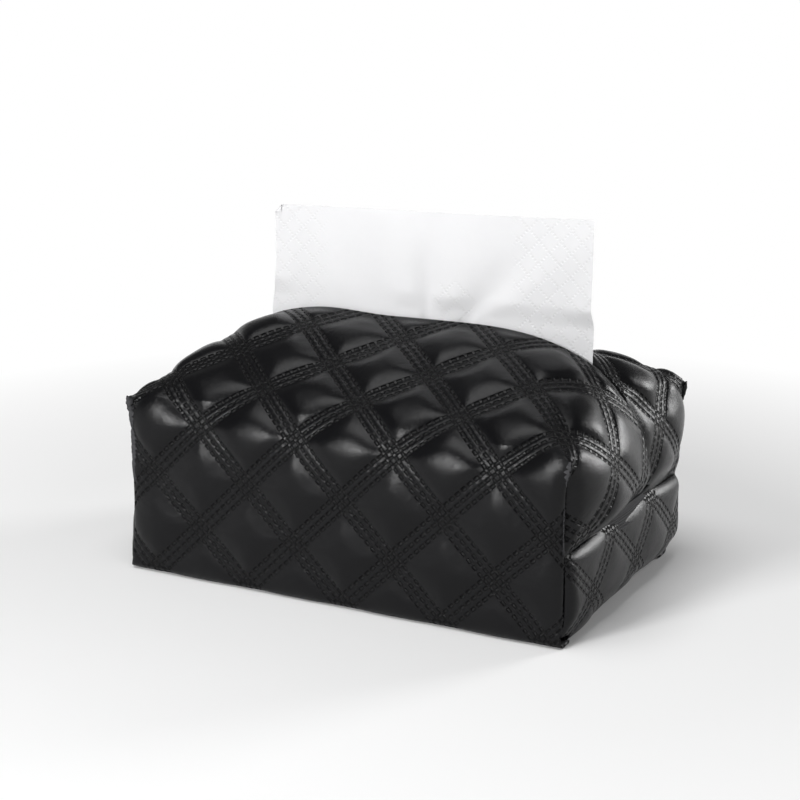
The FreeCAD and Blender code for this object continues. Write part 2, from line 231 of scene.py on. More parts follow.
# One half of the cover: the wall leans in over the rim, and each line across it arches down at the ends
def makeHalf(shape):
    v = np.arange(0, blank["tableV"])
    lean = math.radians(shape["lean"]) * ease((v - shape["leanFrom"]) / (shape["leanTo"] - shape["leanFrom"]))
    lean = lean + math.radians(shape["leanMore"]) * rising(v, *shape["moreFade"])
    pace = 1 + (shape["shrink"] - 1) * rising(v, *shape["shrinkFade"])
    inward = running(pace * np.sin(lean), 1.0)
    upward = running(pace * np.cos(lean), 1.0)
    u = np.arange(0, blank["tableU"])
    over = np.clip((v - blank["rim"]) / flapLength, 0, 1.1)[:, None] + 0 * u[None, :]
    crown = math.radians(shape["crown"]) * over
    knee = blank["halfLength"] + shape["kneeAt"] * over ** shape["kneePower"]
    wide = shape["kneeWide"] + shape["kneeSpread"] * over ** shape["kneePower"]
    turn = math.radians(90) + math.radians(shape["under"]) * over - crown
    angle = crown * (u / blank["halfLength"]) ** 2 + turn * ease((u - knee + wide / 2) / wide)
    angle = np.where(v[:, None] < blank["rim"], 0, angle)
    along = running(np.cos(angle).T, 1.0).T
    drop = running(np.sin(angle).T, 1.0).T
    return {"shape": shape, "inward": inward, "upward": upward, "along": along, "drop": drop}


halves = {"front": makeHalf(front), "back": makeHalf(back)}


def halfPlace(half, u, v):
    shape = half["shape"]
    reach = np.abs(u)
    x = np.sign(u) * lookUp(half["along"], v, reach)
    rows = np.arange(len(half["inward"]))
    yMiddle = -blank["halfDepth"] + np.interp(v, rows, half["inward"])
    zMiddle = np.interp(v, rows, half["upward"])
    yEnd = -blank["halfDepth"] + np.maximum(v - blank["rim"], 0) * shape["endRun"]
    toEnd = ease((reach - shape["endFrom"]) / (shape["endTo"] - shape["endFrom"]))
    y = yMiddle * (1 - toEnd) + yEnd * toEnd
    zRim = np.interp(blank["rim"], rows, half["upward"])
    zWall = zMiddle * (1 - toEnd) + np.minimum(v, blank["rim"]) / blank["rim"] * zRim * toEnd
    z = np.where(v < blank["rim"], zWall, zMiddle - lookUp(half["drop"], v, reach))
    lift = shape["lift"] * rising(u, *liftFade["left"]) * rising(-u, *liftFade["right"])
    leftLift = shape["leftLift"] * rising(-u, *liftFade["leftOnly"]) * rising(u, *liftFade["leftEnd"])
    z = z + (lift + leftLift) * rising(v, *shape["upFade"])
    inner = ease((v - blank["rim"]) / seam["innerFade"])
    swell = rising(reach, *seam["swellFade"]) * (seam["cornerSwell"] * (1 - inner) + shape["endSwell"] * inner)
    return x * seam["spread"] + np.sign(u) * swell * (v > blank["rim"]), y, z


# The turn from wall to base, and the base itself
def footPlace(u, v, y, z):
    r, low = foot["round"], foot["rise"]
    start = low + r - r * math.pi / 2
    turn = np.clip((v - start) / r, 0, math.pi / 2)
    yBend = -blank["halfDepth"] + r - r * np.sin(turn)
    zBend = low + r - r * np.cos(turn)
    inWall = v > low + r
    yBase = -(blank["halfDepth"] - r) * np.clip((v + blank["halfDepth"]) / (start + blank["halfDepth"]), -1, 1)
    yLow = np.where(v < start, yBase, yBend)
    zLow = np.where(v < start, low, zBend)
    return np.where(inWall, y, yLow), np.where(inWall, z, zLow)


# The right end draws in at the foot, more at the back, and the left one spreads a little
def heelTuck(u, y, z):
    tuck = foot["heelIn"] * (1 + foot["heelSkew"] * y / blank["halfDepth"]) * ease(1 - z / foot["heelHigh"])
    out = foot["heelOut"] * rising(-u, *foot["heelFade"]) * ease(1 - z / foot["outHigh"])
    return tuck * rising(u, *foot["heelFade"]) + out


# The lower half of an end, an extension of the base
def lowerEndPlace(u, v):
    reach = np.abs(u)
    step = 0.5
    steps = np.arange(0, blank["tableU"], step)
    rise = math.radians(90) * rising(steps, *lowerEnd["turn"])
    pace = 1 + (lowerEnd["wide"] - 1) * rising(steps, *lowerEnd["wideFade"])
    x = running(np.cos(rise) * pace, step)
    z = foot["rise"] + running(np.sin(rise) * lowerEnd["climb"], step)
    x = x - x[-1] + blank["halfLength"] * seam["spread"]
    bent = ease(steps / lowerEnd["straight"])
    x = x * bent + steps * (1 - bent)
    xs, zs = np.interp(reach, steps, x), np.interp(reach, steps, z)
    y = -v - blank["halfDepth"]
    middle = 1 - (y / blank["halfDepth"]) ** 2
    swell = np.sin(np.pi * np.clip(zs / lowerEnd["bulgeTop"], 0, 1)) ** lowerEnd["bulgePower"]
    swell = swell * (1 - np.abs(y / blank["halfDepth"]) ** 4)
    bulge = np.where(u < 0, lowerEnd["leftBulge"], lowerEnd["rightBulge"])
    heel = heelTuck(u, y, zs) * (1 + foot["heelMiddle"] * middle)
    return np.sign(u) * (xs + bulge * np.maximum(swell, 0)) - heel, y, zs


def cornerLine(z, signX, signY):
    low = seam["footDepth"]
    sink = seam["cornerDepth"] * ease((seam["cornerTop"] - z) / seam["tipFade"])
    sink = sink * (low + (1 - low) * ease(z / seam["depthFade"])) * np.where(signX < 0, seam["leftDepth"], 1)
    heel = heelTuck(signX * blank["halfLength"], signY * blank["halfDepth"], z)
    return signX * (blank["halfLength"] * seam["spread"] - sink) - heel, signY * (blank["halfDepth"] - sink), z


def endLine(y, signX):
    share = 1 - (y / blank["halfDepth"]) ** 2
    x = blank["halfLength"] * seam["spread"] - seam["cornerDepth"] - seam["creaseDepth"] * share
    z = seam["endHeight"] + seam["endArch"] * share
    return signX * x, y, z


def pull(place, toward, share):
    return [a + share * d for a, d in zip(place, toward)]


# Where a point of the blank lies when the cover is made up. side is front, back or base.
def rawPlace(u, v, side):
    if side == "base":
        return lowerEndPlace(u, v)
    w = mirrored(v, side)
    x, y, z = halfPlace(halves[side], u, np.maximum(w, 0))
    y, z = footPlace(u, w, y, z)
    y = y if side == "front" else -y
    return x - heelTuck(u, y, z), y, z


def seamedPlace(u, v, side):
    signX = np.sign(u)
    reach = np.abs(u)
    place = rawPlace(u, v, side)
    if side == "base":
        nearFront = v > -blank["halfDepth"]
        signY = np.where(nearFront, -1, 1)
        edge = np.minimum(-v, v + depth)
        border = rawPlace(u, np.where(nearFront, 0, -depth), side)
        share = rising(reach, *seam["baseFade"])
    else:
        w = mirrored(v, side)
        signY = -1 if side == "front" else 1
        beside = blank["halfLength"] - reach
        above = w - blank["rim"]
        inWall = above < 0
        edge = np.where(inWall, beside, np.where(beside > 0, np.hypot(beside, above), above))
        borderU = np.where(inWall | (beside > 0), signX * blank["halfLength"], u)
        border = rawPlace(borderU, mirrored(np.where(inWall, w, blank["rim"]), side), side)
        share = rising(w, *seam["wallFade"])
    line = cornerLine(border[2], signX, signY)
    near = np.clip(1 - edge / seam["cornerReach"], 0, 1) ** 2 * share
    return pull(place, [a - b for a, b in zip(line, border)], near)


def coverPlace(u, v, side):
    signX = np.sign(u)
    w = mirrored(v, side)
    place = seamedPlace(u, v, side)
    border = seamedPlace(signX * blank["endReach"] + 0 * u, v, side)
    line = endLine(border[1], signX)
    near = np.clip(1 - (blank["endReach"] - np.abs(u)) / seam["endReach"], 0, 1) ** 2
    if side != "base":
        near = np.where(w < blank["rim"], 0, near)
    place = pull(place, [a - b for a, b in zip(line, border)], near)
    if side != "base":
        tip = np.hypot(np.abs(u) - blank["halfLength"], w - blank["rim"])
        out = ear["out"] * np.exp(-(tip / ear["wide"]) ** 2) * np.where(u < 0, ear["onLeft"], 1)
        out = out * (1 if side == "front" else ear["onBack"])
        way = (signX, -1 if side == "front" else 1, 1)
        place = [value + sign * share * out for value, sign, share in zip(place, way, ear["way"])]
    return np.stack(place, -1)


def unit(vectors):
    return vectors / np.maximum(np.linalg.norm(vectors, axis=-1, keepdims=True), 1e-9)


# The surface with its hem rolled under, and the way out of it
def coverSurface(u, v, side):
    turn = blank["hemTurn"]
    flatV = v
    if side != "base":
        edge = blank[side + "Hem"]
        w = mirrored(v, side)
        beyond = np.maximum(w - edge, 0)
        flatV = mirrored(np.minimum(w, edge), side)
    small = 0.05
    here = coverPlace(u, flatV, side)
    alongU = coverPlace(u + small, flatV, side) - coverPlace(u - small, flatV, side)
    alongV = coverPlace(u, flatV + small, side) - coverPlace(u, flatV - small, side)
    out = unit(np.cross(alongU, alongV))
    if side == "base":
        return here, out
    forward = unit(alongV) * (1 if side == "front" else -1)
    angle = np.clip(beyond / turn, 0, math.pi)[:, None]
    under = np.maximum(beyond - math.pi * turn, 0)[:, None]
    rolled = here + forward * (turn * np.sin(angle) - under) - out * turn * (1 - np.cos(angle))
    rolledOut = out * np.cos(angle) + forward * np.sin(angle)
    return rolled, rolledOut


def toFlat(p, q):
    return quilt["startU"] + quilt["width"] * (p - q) / 2, quilt["startV"] + quilt["rise"] * (p + q) / 2


def toLattice(u, v):
    across, up = (u - quilt["startU"]) / quilt["width"], (v - quilt["startV"]) / quilt["rise"]
    return across + up, up - across


# Where the base's own edges begin, and a distance that counts as far from any edge
corner = {"baseFrom": 100, "far": 60}


# Height of the padding over one direction of stitch rows
def padding(lines):
    share = lines - np.floor(lines)
    share = share ** (1 - quilt["sag"] * np.sin(np.pi * share))
    away = np.minimum(share, 1 - share) * quilt["side"]
    half, step = quilt["side"] / 2, quilt["rowStep"]
    pillow = 1 - np.clip((half - away) / (half - step), 0, 1) ** quilt["shoulder"]
    channel = quilt["channel"] * np.sin(np.pi * np.clip(away / step, 0, 1))
    return np.where(away < step, channel, pillow)


def atLeast(low, share):
    return low + (1 - low) * share


def paddingOver(u, v, side):
    p, q = toLattice(u, v)
    reach = np.abs(u)
    w = mirrored(v, side)
    height = quilt["puff"] * padding(p) * padding(q) * atLeast(quilt["onWall"], rising(w, *quilt["wallFade"]))
    if side == "base":
        edge = np.where(reach > corner["baseFrom"], np.minimum(-v, v + depth), corner["far"])
        edge = np.minimum(edge, blank["endReach"] - reach)
        height = height * atLeast(foot["press"], rising(reach, *foot["baseFade"]))
    else:
        above, beside = w - blank["rim"], blank["halfLength"] - reach
        edge = np.where(above < 0, beside, np.where(beside > 0, np.hypot(above, beside), above))
        edge = np.where(above < 0, edge, np.minimum(edge, blank["endReach"] - reach))
        height = height * atLeast(foot["press"], rising(w, *foot["wallFade"]))
        height = height * rising(blank[side + "Hem"] - w, *quilt["hemFade"])
    height = height * (1 - (1 - quilt["onEnds"]) * ease((reach - blank["halfLength"]) / quilt["endFade"]))
    return height * np.clip(edge / quilt["edgeFade"], 0, 1) ** 0.5


# Grid over the blank whose lines follow the stitch rows. Steps of a cell, and how far across it each lies
cell = {"count": 29, "steps": (0, 5, 10, 19, 24, 29), "places": (0, 3.4, 9, 24.2, 29.8, 33.2)}


def blankGrid(uLimit, vLow, vHigh):
    low = math.floor(min(min(toLattice(u, v)) for u in (-uLimit, uLimit) for v in (vLow, vHigh)))
    high = math.ceil(max(max(toLattice(u, v)) for u in (-uLimit, uLimit) for v in (vLow, vHigh)))
    total = (high - low) * cell["count"]
    mesh = bmesh.new()
    bmesh.ops.create_grid(mesh, x_segments=total, y_segments=total, size=total / 2)
    for vert in mesh.verts:
        lines = []
        for value in vert.co.xy:
            step = value + total / 2
            whole = math.floor(step / cell["count"] + 1e-6)
            across = float(np.interp(step - whole * cell["count"], cell["steps"], cell["places"]))
            lines.append(low + whole + across / quilt["side"])
        u, v = toFlat(*lines)
        vert.co = (u, v, 0)
    return mesh


def trim(mesh, place, way, clear=True):
    everything = mesh.verts[:] + mesh.edges[:] + mesh.faces[:]
    bmesh.ops.bisect_plane(mesh, geom=everything, dist=1e-4, plane_co=place, plane_no=way, clear_outer=clear)


def drop(mesh, test):
    gone = [face for face in mesh.faces if test(face.calc_center_median())]
    bmesh.ops.delete(mesh, geom=gone, context="FACES")


# The blank's cuts and folds; the hem has closer lines where it rolls under
def cutBlank(side):
    hemEnd = blank["hemTurn"] * math.pi + blank["hemUnder"]
    hemLines = np.arange(7) * 0.9
    if side == "base":
        uLimit, vLow, vHigh = blank["endReach"], -depth, 0.0
    else:
        uLimit, vLow, vHigh = blank["endReach"], blank["underTurn"], blank[side + "Hem"] + hemEnd
    if side == "back":
        vLow, vHigh = -depth - vHigh, -depth - vLow
    mesh = blankGrid(uLimit, vLow, vHigh)
    trim(mesh, (uLimit, 0, 0), (1, 0, 0))
    trim(mesh, (-uLimit, 0, 0), (-1, 0, 0))
    trim(mesh, (0, vHigh, 0), (0, 1, 0))
    trim(mesh, (0, vLow, 0), (0, -1, 0))
    for way in (-1, 1):
        trim(mesh, (way * blank["halfLength"], 0, 0), (way, 0, 0), False)
    if side == "base":
        for v in (blank["underTurn"], -depth - blank["underTurn"]):
            trim(mesh, (0, v, 0), (0, 1, 0), False)
        inner = depth / 2 + blank["underTurn"]
        drop(mesh, lambda c: abs(c.x) < blank["halfLength"] and abs(c.y + depth / 2) > inner)
    else:
        trim(mesh, (0, mirrored(blank["rim"], side), 0), (0, 1, 0), False)
        for extra in hemLines:
            trim(mesh, (0, mirrored(blank[side + "Hem"] + extra, side), 0), (0, 1, 0), False)
        drop(mesh, lambda c: abs(c.x) > blank["halfLength"] and mirrored(c.y, side) < blank["rim"])
    bmesh.ops.remove_doubles(mesh, verts=mesh.verts[:], dist=1e-3)
    return mesh


def coordinates(mesh):
    values = np.empty(len(mesh.vertices) * 3)
    mesh.vertices.foreach_get("co", values)
    return values.reshape(-1, 3)


def setCoordinates(mesh, values):
    mesh.vertices.foreach_set("co", values.astype(np.float32).ravel())
    mesh.update()


def newObject(name, mesh, *materials):
    made = bpy.data.objects.new(name, mesh)
    bpy.context.scene.collection.objects.link(made)
    for material in materials:
        mesh.materials.append(material)
    return made


def meshFrom(grid, name, smooth=True):
    mesh = bpy.data.meshes.new(name)
    grid.to_mesh(mesh)
    grid.free()
    mesh.polygons.foreach_set("use_smooth", [smooth] * len(mesh.polygons))
    return mesh


def flatLayer(mesh, flat):
    layer = mesh.uv_layers.new(name="flat")
    corners = np.empty(len(mesh.loops), dtype=np.int32)
    mesh.loops.foreach_get("vertex_index", corners)
    layer.data.foreach_set("uv", flat[corners][:, :2].astype(np.float32).ravel())


# Leather with a fine grain, rows of stitches sunk between the needle holes with painted shade in their slots,
# and puckers beside them
stitch = {
    "pitch": 3.689, "length": 2.75, "wide": 0.72, "lift": -0.24, "sides": 6, "rings": 5,
    "hemInset": 4.5, "hemCount": 38, "edge": 2.5, "hemGap": 3.0, "endsFrom": 99.0,
}
hide = {
    "specular": 0.21, "rough": 0.26, "roughDrift": 0.08, "roughPores": 0.06, "roughSunk": 0.6,
    # The third colour on the next line is painted shade, laid in the stitch slots
    "dark": (0.0018, 0.0018, 0.0023), "light": (0.0040, 0.0040, 0.0048), "paintedSlotShade": (0.0015, 0.0015, 0.0018),
    "slot": 0.95, "groove": 0.12, "bead": 0.09, "pucker": 0.12, "grain": 0.024, "pores": 0.022, "creases": 0.12,
    "band": (0.7, 1.4), "grooveFade": (0.3, 1.3), "slotFade": (0.42, 0.88), "threadFade": (0.50, 0.95),
    "ridgeFade": (-0.2, 0.4), "beadFade": (0.2, 1.6), "puckerFade": (5.0, 12.0),
}


def makeLeather():
    leather = Finish("quilted leather", Specular_IOR_Level=hide["specular"])
    flat = leather.flat()
    parts = leather.node("ShaderNodeSeparateXYZ", {}, {"Vector": flat})
    across = (parts.out("X") - quilt["startU"]) * (quilt["side"] / quilt["width"])
    up = (parts.out("Y") - quilt["startV"]) * (quilt["side"] / quilt["rise"])
    lines = (across + up, up - across)
    step, pitch = quilt["rowStep"], stitch["pitch"]
    slots, relief = [], []
    for line, other in (lines, lines[::-1]):
        away = line.math("PINGPONG", quilt["side"] / 2)
        row = away.math("PINGPONG", step / 2)
        hole = other.math("PINGPONG", pitch / 2)
        band = leather.fade(away, step + hide["band"][0], step + hide["band"][1])
        groove = leather.fade(row, *hide["grooveFade"]) * band
        threaded = 1 - leather.fade(hole, *hide["threadFade"])
        slot = leather.fade(row, *hide["slotFade"]) * threaded * band
        ridge = leather.fade(away, step + hide["ridgeFade"][0], step + hide["ridgeFade"][1]) * (1 - groove)
        bead = ridge * leather.fade(hole, *hide["beadFade"])
        slots.append(slot)
        relief.append(slot * -hide["slot"] - groove * hide["groove"] + bead * hide["bead"])
        wrinkle = leather.node("ShaderNodeCombineXYZ", {}, {"X": other * 0.42, "Y": line * 0.10})
        beside = leather.fade(away, *hide["puckerFade"])
        relief.append((leather.noise(wrinkle, 1.0, 3.0, 0.6, 0.4) - 0.5) * beside * hide["pucker"])
    # Painted shade: the stitch slots get a near-black colour for the shade in them, and more roughness
    paintedSlotShade = slots[0].math("MAXIMUM", slots[1])
    grain = leather.cells(flat, 1.5)
    pores = leather.noise(flat, 3.4, 2.0, 0.6)
    creases = leather.noise(leather.stretched(flat, (1, 0.55, 1)), 0.16, 4.0, 0.6, 0.8)
    tone = leather.noise(flat, 0.035, 2.0)
    shade = leather.between(tone, hide["dark"], hide["light"])
    shade = leather.between(paintedSlotShade, shade, hide["paintedSlotShade"])
    gloss = hide["rough"] + (tone - 0.5) * hide["roughDrift"] + (pores - 0.5) * hide["roughPores"]
    gloss = gloss + paintedSlotShade * hide["roughSunk"]
    fine = leather.ramp(grain, (0.0, 0.0), (0.3, 1.0)) * hide["grain"] + (pores - 0.5) * hide["pores"]
    height = relief[0] + relief[1] + relief[2] + relief[3] + fine + (creases - 0.5) * hide["creases"]
    return leather.set(Base_Color=shade, Roughness=gloss, Normal=leather.bump(height, mm))


def makeLining():
    lining = Finish("lining", Roughness=0.9)
    place = lining.place()
    fibres = lining.noise(place, 900, 3.0, 0.7)
    shade = lining.between(fibres, (0.03, 0.03, 0.033), (0.07, 0.07, 0.075))
    return lining.set(Base_Color=shade, Normal=lining.bump(fibres, 0.0002))


def makeThread():
    thread = Finish("thread", Roughness=0.28, Specular_IOR_Level=0.5)
    place = thread.place()
    twist = thread.noise(place, 2200, 2.0)
    shade = thread.between(twist, (0.004, 0.004, 0.005), (0.012, 0.012, 0.013))
    return thread.set(Base_Color=shade, Normal=thread.bump(twist, 0.00015))


def makeTape():
    tape = Finish("tape", Roughness=0.85)
    place = tape.place()
    values = {"Vector": place, "Scale": 320, "Distortion": 0.4}
    ribs = tape.node("ShaderNodeTexWave", {"bands_direction": "Z"}, values)
    shade = tape.between(ribs, (0.018, 0.018, 0.02), (0.045, 0.045, 0.048))
    return tape.set(Base_Color=shade, Normal=tape.bump(ribs, 0.0002))


# Tissue with fine fibres and lines of embossed dots near its ends and in one patch, in millimetres of the sheet
embossing = {
    "lines": 4.9, "dots": 1.15, "lineFade": (0.40, 0.95), "dotFade": (0.30, 0.80), "depth": 0.11,
    "rightEnd": (118.0, 124.0), "leftEnd": (22.0, 30.0), "patch": (91.0, 63.0, 0.0), "patchFade": (8.0, 12.0),
    "fibres": 0.03, "softness": 0.25,
}


def makePaper():
    paper = Finish("tissue paper", Roughness=0.92, Specular_IOR_Level=0.2)
    place, flat = paper.place(), paper.flat()
    fibres = paper.noise(place, 700, 4.0, 0.65)
    soft = paper.noise(place, 45, 3.0)
    parts = paper.node("ShaderNodeSeparateXYZ", {}, {"Vector": flat})
    across, up = parts.out("X"), parts.out("Y")
    dots = None
    for along, beside in ((across + up, across - up), (across - up, across + up)):
        line = paper.fade(beside.math("PINGPONG", embossing["lines"]), *embossing["lineFade"])
        dot = paper.fade(along.math("PINGPONG", embossing["dots"]), *embossing["dotFade"])
        dots = line * dot if dots is None else dots.math("MAXIMUM", line * dot)
    rightEnd = 1 - paper.fade(across, *embossing["rightEnd"])
    ends = rightEnd.math("MAXIMUM", paper.fade(across, *embossing["leftEnd"]))
    patch = paper.node("ShaderNodeVectorMath", {"operation": "DISTANCE"}, {0: flat, 1: embossing["patch"]})
    zone = ends.math("MAXIMUM", paper.fade(patch, *embossing["patchFade"]))
    shade = paper.between(soft, (0.79, 0.79, 0.80), (0.835, 0.835, 0.845))
    height = fibres * embossing["fibres"] + soft * embossing["softness"] - dots * zone * embossing["depth"]
    return paper.set(Base_Color=shade, Normal=paper.bump(height, mm))


def makeFilm():
    film = Finish("film", IOR=1.5)
    place = film.place()
    creases = film.noise(place, 60, 4.0, 0.6, 1.2)
    shade = film.between(creases, (0.70, 0.72, 0.75), (0.84, 0.86, 0.88))
    gloss = film.ramp(creases, (0.3, 0.16), (0.8, 0.34))
    return film.set(Base_Color=shade, Roughness=gloss, Normal=film.bump(creases, 0.0016))


leather, lining, thread, tape = makeLeather(), makeLining(), makeThread(), makeTape()
paper, film = makePaper(), makeFilm()

replaced = {
    "front": ["front_panel", "front_flap", "front_flap_left_end", "front_flap_right_end"],
    "back": ["back_panel", "back_flap", "back_flap_left_end", "back_flap_right_end"],
    "base": ["base_panel", "base_left_end", "base_right_end"],
}
skinThickness = 1.2 * mm

# Cloth under pressure between the stitch rows, worked out at ten times the size
swelling = {
    "scale": 10.0, "frames": 14, "grow": 0.010, "pressure": 6.0, "tension": 30.0, "bend": 6.0,
    "held": 3.6, "hemHeld": 6, "footHeld": 4, "heldFade": 1.0, "movedFade": 9.0, "cap": 1.6, "start": 0.85,
    "onEnds": 0.35, "endFade": (95, 10), "quality": 4, "mass": 0.3, "damping": 3,
}


# How firmly the stitches hold each point of the blank: 1 on the rows and seams, 0 in a padded cell
def heldShare(u, v, side, fading):
    p, q = toLattice(u, v)
    away = [np.abs(lines - np.round(lines)) * quilt["side"] for lines in (p, q)]
    row = np.minimum(*away)
    reach = np.abs(u)
    w = mirrored(v, side)
    if side == "base":
        ownEdge = np.where(reach > corner["baseFrom"], np.minimum(-v, v + depth), 0)
        edge = np.minimum(blank["endReach"] - reach, ownEdge)
    else:
        far = corner["far"]
        beside = blank["halfLength"] - reach
        edge = np.where(w < blank["rim"], beside, np.where(beside > 0, far, w - blank["rim"]))
        edge = np.minimum(edge, np.where(w > blank["rim"], blank["endReach"] - reach, far))
        edge = np.minimum(edge, blank[side + "Hem"] - w - swelling["hemHeld"])
        edge = np.minimum(edge, w - swelling["footHeld"])
    return 1 - rising(np.minimum(row, edge), swelling["held"], fading)


def swell(mesh, flat, side):
    u, v = flat[:, 0], flat[:, 1]
    place = coordinates(mesh)
    trial = newObject("swelling", mesh.copy())
    setCoordinates(trial.data, place * swelling["scale"])
    group = trial.vertex_groups.new(name="held")
    held = heldShare(u, v, side, swelling["heldFade"])
    for index, share in enumerate(held):
        if share > 0.01:
            group.add([index], float(share), "REPLACE")
    cloth = trial.modifiers.new("cloth", "CLOTH")
    settings = cloth.settings
    settings.quality = swelling["quality"]
    settings.mass = swelling["mass"]
    settings.tension_stiffness = swelling["tension"]
    settings.compression_stiffness = swelling["tension"]
    settings.shear_stiffness = swelling["tension"] / 2
    settings.bending_stiffness = swelling["bend"]
    settings.air_damping = swelling["damping"]
    settings.use_pressure = True
    settings.uniform_pressure_force = swelling["pressure"]
    settings.shrink_min = -swelling["grow"]
    settings.vertex_group_mass = "held"
    settings.effector_weights.gravity = 0
    cloth.collision_settings.use_collision = False
    cloth.point_cache.frame_end = swelling["frames"]
    for number in range(1, swelling["frames"] + 1):
        bpy.context.scene.frame_set(number)
    done = trial.evaluated_get(bpy.context.evaluated_depsgraph_get())
    moved = coordinates(done.data) / swelling["scale"] - place
    bpy.data.objects.remove(trial)
    bpy.context.scene.frame_set(1)
    length = np.linalg.norm(moved, axis=1) / mm
    limit = np.minimum(length, swelling["cap"]) / np.maximum(length, 1e-6)
    share = 1 - (1 - swelling["onEnds"]) * rising(np.abs(u), *swelling["endFade"])
    share = share * (1 - heldShare(u, v, side, swelling["movedFade"]))
    print("swelling", side, "moved", round(float(length.mean()), 2), "mm on average", flush=True)
    return place + moved * (limit * share)[:, None]


def makeSkin(side):
    mesh = meshFrom(cutBlank(side), side + "_skin")
    flat = coordinates(mesh)
    u, v = flat[:, 0], flat[:, 1]
    place, out = coverSurface(u, v, side)
    soft = np.array([noise.noise(Vector(p) / quilt["unevenWide"]) for p in place])
    share = swelling["start"]
    place = place + out * (paddingOver(u, v, side) * share * (1 + quilt["uneven"] * soft))[:, None]
    place[:, 2] = np.maximum(place[:, 2], 0.0)
    flatLayer(mesh, flat)
    setCoordinates(mesh, place * mm)
    place = swell(mesh, flat, side)
    place[:, 2] = np.maximum(place[:, 2], 0.0)
    setCoordinates(mesh, place)
    skin = newObject(side + "_quilting", mesh, leather, lining)
    wall = skin.modifiers.new("thickness", "SOLIDIFY")
    wall.thickness = skinThickness
    wall.offset = -1
    wall.material_offset = 1
    wall.use_quality_normals = True
    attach(skin, "cover")
    names = replaced[side]
    names = names + [name + "_lining" for name in names]
    if side != "base":
        names.append(side + "_hem")
    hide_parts(*names)
    print("skin", side, len(mesh.polygons), "faces", flush=True)
    return skin, flat


# Stitches: one small spindle of thread each, laid on the finished skin
def surfaceFinder(skin, flat):
    faces = [tuple(face.vertices) for face in skin.data.polygons]
    tree = BVHTree.FromPolygons([Vector((p[0], p[1], 0)) for p in flat], faces)
    return tree, faces, flat, coordinates(skin.data)


def onSkin(finder, u, v):
    tree, faces, flat, solid = finder
    near, _, index, _ = tree.find_nearest(Vector((u, v, 0)), 0.5)
    if near is None:
        return None
    corners = list(faces[index])
    weights = np.array([1 / (math.hypot(flat[c][0] - u, flat[c][1] - v) + 1e-4) ** 2 for c in corners])
    return Vector((solid[corners] * weights[:, None]).sum(0) / weights.sum())


def stitchPlace(start, end, out):
    along = (end - start).normalized()
    across = out.cross(along).normalized()
    upward = along.cross(across)
    half = stitch["wide"] / 2 * mm
    turn = Matrix((across * half, upward * half, along * (stitch["length"] / 2 * mm))).transposed().to_4x4()
    middle = (start + end) / 2 + upward * (stitch["lift"] * mm)
    return Matrix.Translation(middle) @ turn


# As many copies of one small shape as there are places, in one mesh
def repeated(unitShape, places, name):
    source = newObject(name + "_unit", meshFrom(unitShape, name + "_unit"))
    copies = source.modifiers.new("copies", "ARRAY")
    copies.count, copies.use_relative_offset = len(places), False
    evaluated = source.evaluated_get(bpy.context.evaluated_depsgraph_get())
    mesh = bpy.data.meshes.new_from_object(evaluated)
    mesh.name = name
    points = np.c_[coordinates(source.data), np.ones(len(source.data.vertices))]
    turns = np.array([np.array(place)[:3] for place in places])
    setCoordinates(mesh, np.einsum("nij,vj->nvi", turns, points).reshape(-1, 3))
    bpy.data.objects.remove(source)
    return mesh


def insideBlank(u, v, side, margin):
    reach = abs(u)
    if side == "base":
        if reach > stitch["endsFrom"]:
            return reach < blank["endReach"] - margin and -depth + margin < v < -margin
        return -depth - blank["underTurn"] < v < blank["underTurn"]
    w = mirrored(v, side)
    if w < blank["rim"] + margin:
        return w > blank["underTurn"] and reach < blank["halfLength"] - margin
    return w < blank[side + "Hem"] - stitch["hemGap"] and reach < blank["endReach"] - margin


def rowPlaces(side):
    found = []
    step = stitch["pitch"] / quilt["side"]
    half = stitch["length"] / 2 / quilt["side"]
    reach = 16
    for line in range(-reach, reach + 1):
        for row in (-1, 0, 1):
            level = line + row * quilt["rowStep"] / quilt["side"]
            for k in range(int(-reach / step), int(reach / step)):
                middle = (k + 0.5) * step
                for order in (0, 1):
                    ends = [(level, middle + s * half) for s in (-1, 1)]
                    if order:
                        ends = [(q, p) for p, q in ends]
                    first, second = [toFlat(p, q) for p, q in ends]
                    u, v = [(a + b) / 2 for a, b in zip(first, second)]
                    if insideBlank(u, v, side, stitch["edge"]):
                        found.append((first, second))
    return found


def makeStitches(side, skin, flat):
    finder = surfaceFinder(skin, flat)
    rows = rowPlaces(side)
    if side != "base":
        level = mirrored(blank[side + "Hem"] - stitch["hemInset"], side)
        half = stitch["length"] / 2
        for k in range(-stitch["hemCount"], stitch["hemCount"] + 1):
            rows.append(((k * stitch["pitch"] - half, level), (k * stitch["pitch"] + half, level)))
    middles = np.array(rows).mean(1)
    outward = coverSurface(middles[:, 0], middles[:, 1], side)[1]
    places = []
    for (first, second), out in zip(rows, outward):
        start, end = onSkin(finder, *first), onSkin(finder, *second)
        if start is not None and end is not None and (end - start).length > mm:
            places.append(stitchPlace(start, end, Vector(out)))
    spindle = bmesh.new()
    bmesh.ops.create_uvsphere(spindle, u_segments=stitch["sides"], v_segments=stitch["rings"], radius=1)
    made = newObject(side + "_thread", repeated(spindle, places, side + "_thread"), thread)
    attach(made, "cover")
    if side != "base":
        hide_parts(side + "_hem_stitches")
    print("thread", side, len(places), "stitches", flush=True)


for side in ("front", "back", "base"):
    skin, flat = makeSkin(side)
    makeStitches(side, skin, flat)

